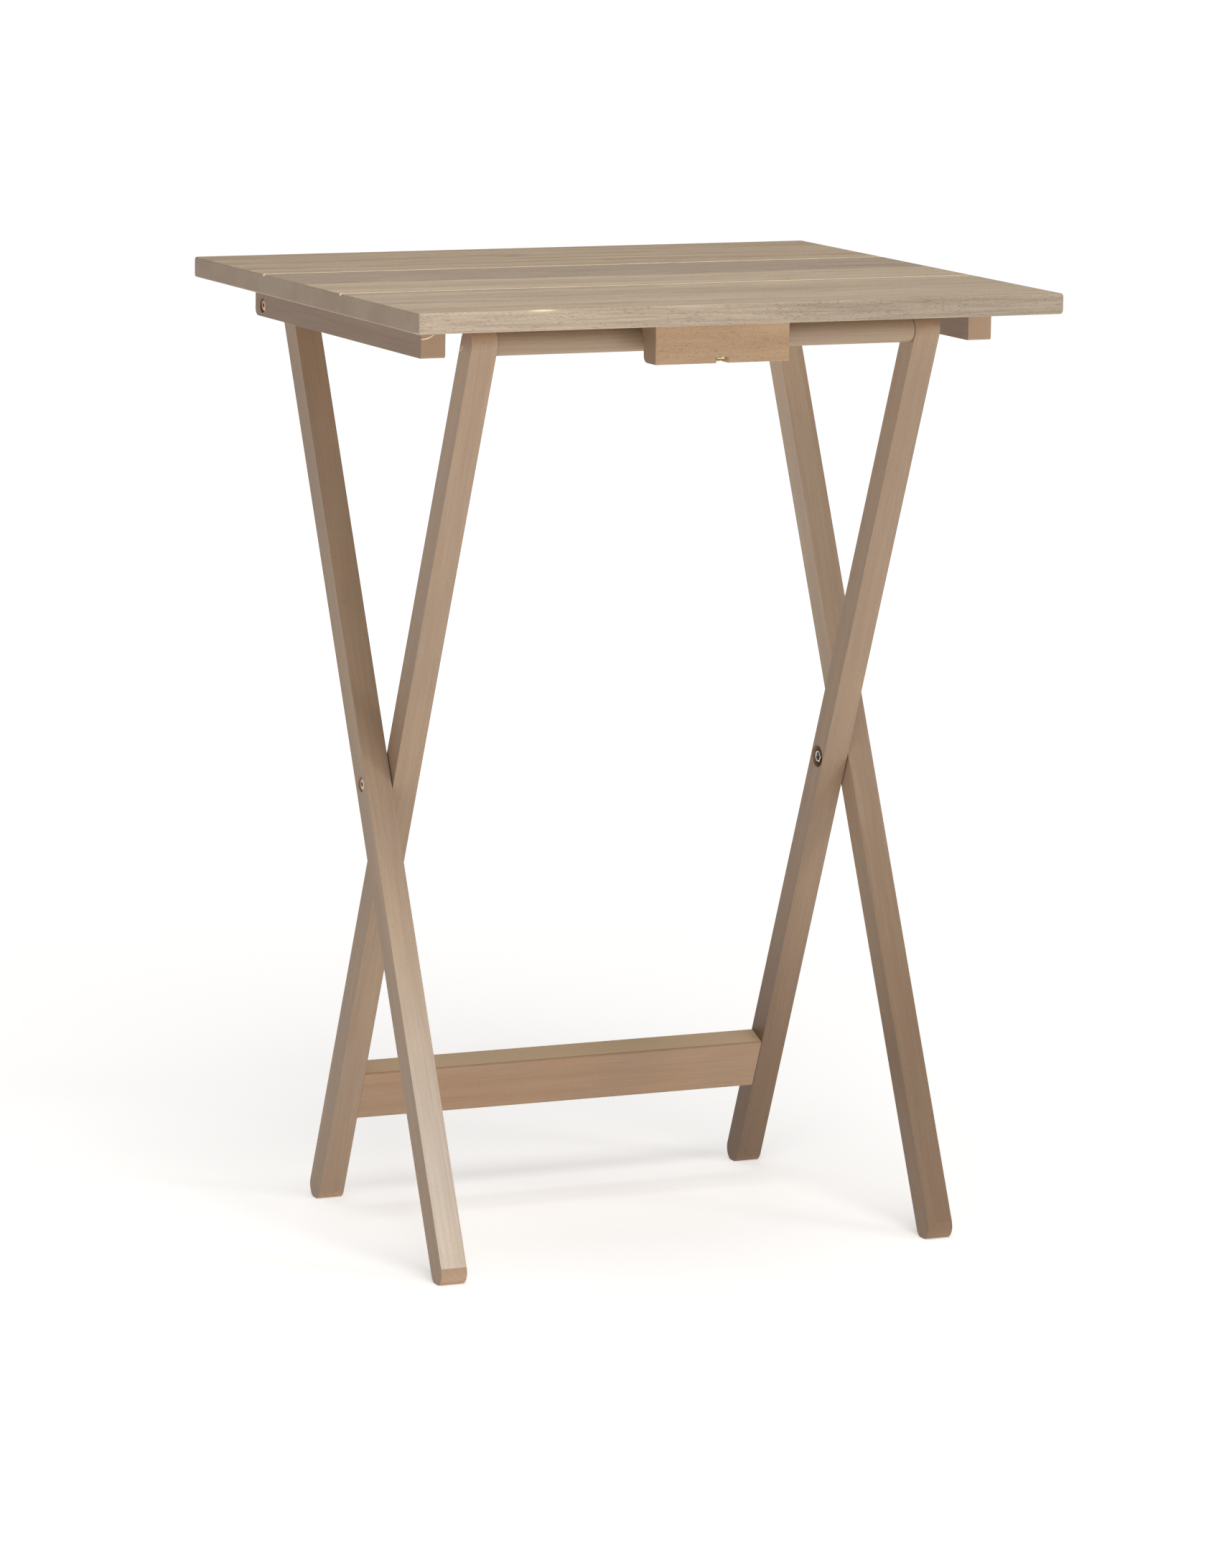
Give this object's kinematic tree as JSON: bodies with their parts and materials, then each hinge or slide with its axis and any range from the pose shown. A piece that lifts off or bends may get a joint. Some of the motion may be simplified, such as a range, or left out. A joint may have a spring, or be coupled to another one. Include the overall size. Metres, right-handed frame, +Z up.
{
  "type": "folding tray table",
  "caption": "Folding tray table: plank top on side rails, crossed legs on pivot bolts, crossbar that snaps into a latch block under the top, and a rear stretcher.",
  "frame": {"origin": "on the floor, under the middle of the top", "axes": "+X across the table to its right, +Y to the rear, where the top is hinged to the outer legs, +Z up"},
  "size_m": [0.4826, 0.4064, 0.6731],
  "materials": {
    "grey_wood": "grey-washed hardwood, matt lacquer",
    "grey_wood_dark": "darker grey-washed hardwood, matt lacquer",
    "leg_wood": "grey-brown washed hardwood, matt lacquer",
    "brown_wood": "lighter brown hardwood, matt lacquer",
    "pin_wood": "bare beech",
    "bolt_bronze": "antique bronze, satin",
    "zinc_steel": "zinc plated",
    "spring_brass": "spring brass, satin"
  },
  "bodies": {
    "top": {"top_board_front": "grey_wood", "top_board_middle": "grey_wood_dark", "top_board_rear": "grey_wood", "side_rail_left": "leg_wood", "side_rail_right": "leg_wood", "rail_screw_left_1": "zinc_steel", "rail_screw_left_2": "zinc_steel", "rail_screw_left_3": "zinc_steel", "rail_screw_right_1": "zinc_steel", "rail_screw_right_2": "zinc_steel", "rail_screw_right_3": "zinc_steel", "latch_block": "brown_wood", "latch_block_screw_1": "zinc_steel", "latch_block_screw_2": "zinc_steel", "latch_spring": "spring_brass", "latch_spring_screw": "zinc_steel"},
    "rear_pivots": {"rear_pivot_bolt_left": "bolt_bronze", "rear_pivot_bolt_right": "bolt_bronze", "rear_pivot_washer_left": "zinc_steel", "rear_pivot_washer_right": "zinc_steel", "rear_pivot_nut_left": "zinc_steel", "rear_pivot_nut_right": "zinc_steel"},
    "outer_legs": {"outer_leg_left": "leg_wood", "outer_leg_right": "leg_wood", "middle_pivot_bolt_left": "bolt_bronze", "middle_pivot_bolt_right": "bolt_bronze", "middle_pivot_washer_left": "zinc_steel", "middle_pivot_washer_right": "zinc_steel", "middle_pivot_nut_left": "zinc_steel", "middle_pivot_nut_right": "zinc_steel", "leg_spacer_left": "zinc_steel", "leg_spacer_right": "zinc_steel"},
    "inner_legs": {"inner_leg_left": "leg_wood", "inner_leg_right": "leg_wood", "crossbar": "leg_wood", "rear_stretcher": "leg_wood", "stretcher_pin_left_1": "pin_wood", "stretcher_pin_left_2": "pin_wood", "stretcher_pin_right_1": "pin_wood", "stretcher_pin_right_2": "pin_wood"}
  },
  "joints": [
    {"name": "top_lift", "type": "hinge", "parent": "top", "child": "rear_pivots", "pos_m": [0, 0.1381, 0.644], "axis": [1, 0, 0], "range_deg": [0, 90], "deforming": ["latch_spring"]},
    {"name": "legs_fold", "type": "hinge", "parent": "rear_pivots", "child": "outer_legs", "pos_m": [0, 0.1381, 0.644], "axis": [1, 0, 0], "range_deg": [0, 24.18], "deforming": ["latch_spring"]},
    {"name": "middle_pivot", "type": "hinge", "parent": "outer_legs", "child": "inner_legs", "pos_m": [0, -0.0056, 0.324], "axis": [1, 0, 0], "range_deg": [-46, 0]}
  ],
  "couplings": [
    {"joint": "middle_pivot", "follows": "legs_fold", "ratio": -1.9015}
  ]
}
